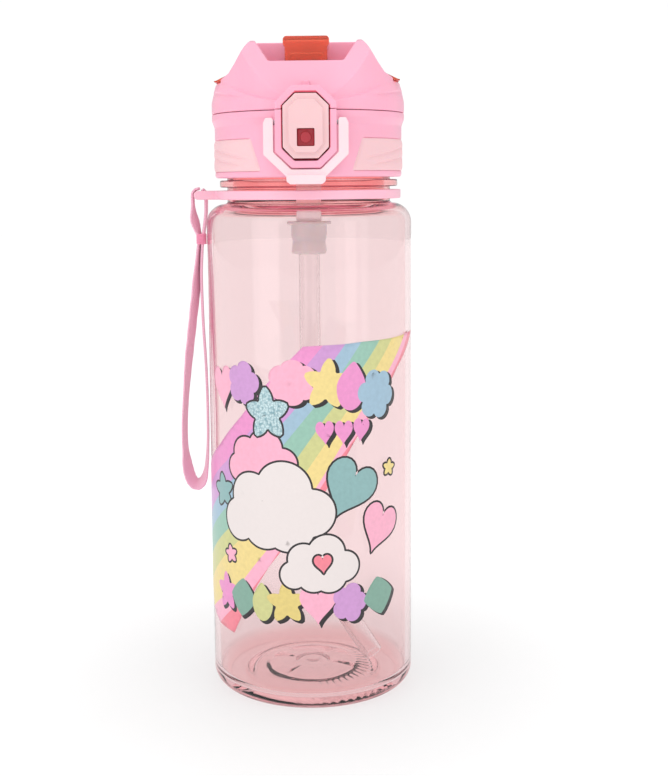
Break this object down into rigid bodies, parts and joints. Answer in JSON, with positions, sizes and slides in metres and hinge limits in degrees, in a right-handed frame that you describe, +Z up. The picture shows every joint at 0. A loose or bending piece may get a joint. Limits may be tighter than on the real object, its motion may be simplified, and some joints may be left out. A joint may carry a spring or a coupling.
{
  "type": "kids water bottle",
  "caption": "Clear screw-neck water bottle with a flip-top straw lid, push-button latch, swing-over lock bail and a wrist strap on a swivelling neck ring.",
  "frame": {"origin": "centre of the bottle's foot on the surface it stands on", "axes": "+Z up along the bottle's axis, the button faces -Y, the strap hangs at -X"},
  "size_m": [0.082, 0.076, 0.2288],
  "materials": {
    "clear_body": "clear polished, tinted pale pink",
    "pink_plastic": "moulded, satin gloss",
    "cream_plastic": "moulded, gloss",
    "cream_grip": "soft-touch, satin",
    "coral_clear": "clear polished, tinted coral",
    "milky_silicone": "translucent silicone",
    "pink_silicone": "translucent silicone",
    "stem_plastic": "moulded, satin",
    "straw_plastic": "translucent, soft gloss",
    "strap_fabric": "woven tape, satin sheen",
    "strap_thread": "sewn thread",
    "steel": "bright drawn wire and pin",
    "printed_ink": "screen-printed ink, gloss"
  },
  "bodies": {
    "bottle": {"bottle_body": "clear_body"},
    "neck_ring": {"strap_ring": "pink_plastic"},
    "strap": {"strap_loop": "strap_fabric", "strap_tack": "strap_thread"},
    "gasket": {"lid_gasket": "milky_silicone"},
    "lid": {"lid_base": "pink_plastic", "grip_pad_left": "cream_grip", "grip_pad_right": "cream_grip", "vent_valve": "milky_silicone", "spout_stem": "stem_plastic", "mouthpiece": "pink_silicone", "straw_connector": "milky_silicone", "straw": "straw_plastic", "hinge_pin": "steel", "button_pin": "steel"},
    "cover": {"cover_shell": "pink_plastic", "cover_inner": "coral_clear", "cover_seal": "milky_silicone", "hinge_spring": "steel"},
    "button": {"push_button": "cream_plastic", "latch_lever": "coral_clear", "button_spring": "steel"},
    "bail": {"lock_bail": "cream_plastic"}
  },
  "joints": [
    {"name": "ring_swivel", "type": "hinge", "parent": "bottle", "child": "neck_ring", "pos_m": [0, 0, 0.17585], "axis": [0, 0, 1], "continuous": true},
    {"name": "strap_swing", "type": "hinge", "parent": "neck_ring", "child": "strap", "pos_m": [-0.0386, 0, 0.17585], "axis": [0, 1, 0], "range_deg": [0, 120]},
    {"name": "lid_lift", "type": "slide", "parent": "bottle", "child": "gasket", "axis": [0, 0, 1], "range_m": [0, 0.2]},
    {"name": "lid_turn", "type": "hinge", "parent": "gasket", "child": "lid", "pos_m": [0, 0, 0.1974], "axis": [0, 0, 1], "range_deg": [0, 360]},
    {"name": "cover_hinge", "type": "hinge", "parent": "lid", "child": "cover", "pos_m": [0, 0.0346, 0.2024], "axis": [-1, 0, 0], "range_deg": [0, 120]},
    {"name": "button_rock", "type": "hinge", "parent": "lid", "child": "button", "pos_m": [0, -0.0346, 0.1993], "axis": [1, 0, 0], "range_deg": [0, 5.5], "stiffness_Nm_per_rad": 0.3, "springref_deg": -5.73},
    {"name": "bail_swing", "type": "hinge", "parent": "lid", "child": "bail", "pos_m": [0, -0.0346, 0.1993], "axis": [-1, 0, 0], "range_deg": [0, 176]}
  ]
}
